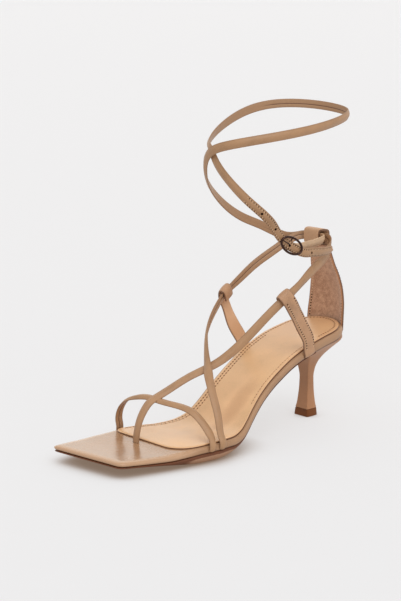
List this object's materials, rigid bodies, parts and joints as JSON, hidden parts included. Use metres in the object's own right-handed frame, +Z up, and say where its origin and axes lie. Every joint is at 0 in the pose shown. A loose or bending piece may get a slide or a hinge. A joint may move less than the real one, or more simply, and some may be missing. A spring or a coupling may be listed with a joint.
{
  "type": "high-heeled strap sandal",
  "caption": "Left square-toed sandal on a flared heel, with thin crossed leather straps, side stays, a narrow counter and an ankle strap wound round the leg and buckled at the outer side.",
  "frame": {"origin": "on the floor, at the middle of the top lift's bottom face under the heel", "axes": "+X along the shoe towards the toe, +Y across towards the outer side of the left foot, +Z up"},
  "size_m": [0.2338, 0.0838, 0.2287],
  "materials": {
    "strap_leather": "smooth tan leather, satin",
    "counter_leather": "tan leather with a napped lining",
    "rand_leather": "smooth tan leather, soft gloss",
    "sock_leather": "light tan leather, soft gloss",
    "sole_leather": "dark brown leather, matt",
    "heel_leather": "leather-covered, satin",
    "lift_rubber": "dark brown, matt",
    "bronze": "dark bronze plating, polished"
  },
  "bodies": {
    "root": {"outsole": "sole_leather", "footbed": "rand_leather", "insole": "sock_leather", "heel": "heel_leather", "top_lift": "lift_rubber", "counter": "counter_leather", "upper_straps": "strap_leather", "stay_lateral": "strap_leather", "stay_medial": "strap_leather", "ankle_strap": "strap_leather", "buckle_strap": "strap_leather", "buckle_frame": "bronze", "buckle_prong": "bronze"}
  },
  "joints": []
}
